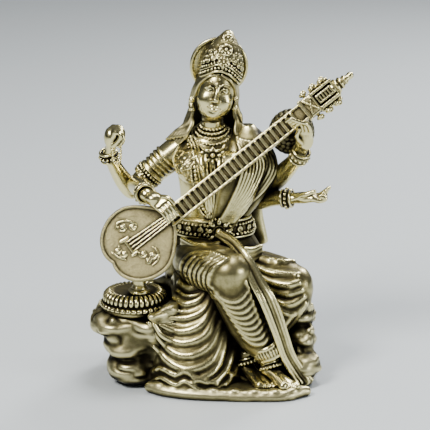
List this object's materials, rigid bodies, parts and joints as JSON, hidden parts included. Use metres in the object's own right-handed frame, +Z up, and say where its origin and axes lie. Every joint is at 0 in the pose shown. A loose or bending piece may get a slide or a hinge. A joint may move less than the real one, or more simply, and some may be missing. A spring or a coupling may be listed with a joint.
{
  "type": "hindu deity statue",
  "caption": "Seated four-armed goddess playing a long-necked lute on a rock, in antiqued cast brass, built here from separate castings.",
  "frame": {"origin": "on the ground plane, midway between the farthest points left and right and midway between front and back", "axes": "+Z up, the figure faces -Y, +X to the viewer's right when seen from the front"},
  "size_m": [0.1037, 0.0707, 0.139],
  "materials": {
    "rock_cast": "antique brass, dark patina in the hollows",
    "fittings": "plain brass pins and stud",
    "drapery": "antique brass, folds rubbed bright on the ridges",
    "skin": "antique brass, polished",
    "hair": "antique brass, dark",
    "ornament": "antique brass, fine relief over dark ground",
    "lute": "antique brass, rubbed edges",
    "board": "antique brass, stippled"
  },
  "bodies": {
    "root": {"rock_base": "rock_cast", "cushion": "ornament", "figure_stud": "fittings", "dowel_pins": "fittings", "skirt": "drapery", "skirt_drape": "drapery", "right_leg": "drapery", "left_leg": "drapery", "right_foot": "skin", "left_foot": "skin", "right_ankle_cuff": "drapery", "right_anklet": "ornament", "left_anklet": "ornament", "sash": "drapery", "torso": "skin", "shoulder_drape": "drapery", "waist_belt": "ornament", "belt_buckle": "ornament", "head": "skin", "hair": "hair", "right_lock": "hair", "left_lock": "hair", "crown": "ornament", "halo": "ornament", "right_earring": "ornament", "left_earring": "ornament", "choker": "ornament", "pendant": "ornament", "bead_necklace": "ornament", "plucking_arm": "skin", "raised_arm": "skin", "fretting_arm": "skin", "giving_arm": "skin", "prayer_beads": "ornament", "plucking_bangle": "ornament", "raised_bangle": "ornament", "fretting_bangle": "ornament", "giving_bangle": "ornament", "armlet": "ornament", "lute_bowl": "lute", "soundboard": "board", "board_ornaments": "lute", "bridge": "lute", "lute_foot": "lute", "strings": "lute", "neck": "lute", "frets": "lute", "upper_gourd": "lute", "gourd_stem": "lute", "peg_box": "lute", "tuning_pegs": "lute", "finial": "lute"}
  },
  "joints": []
}
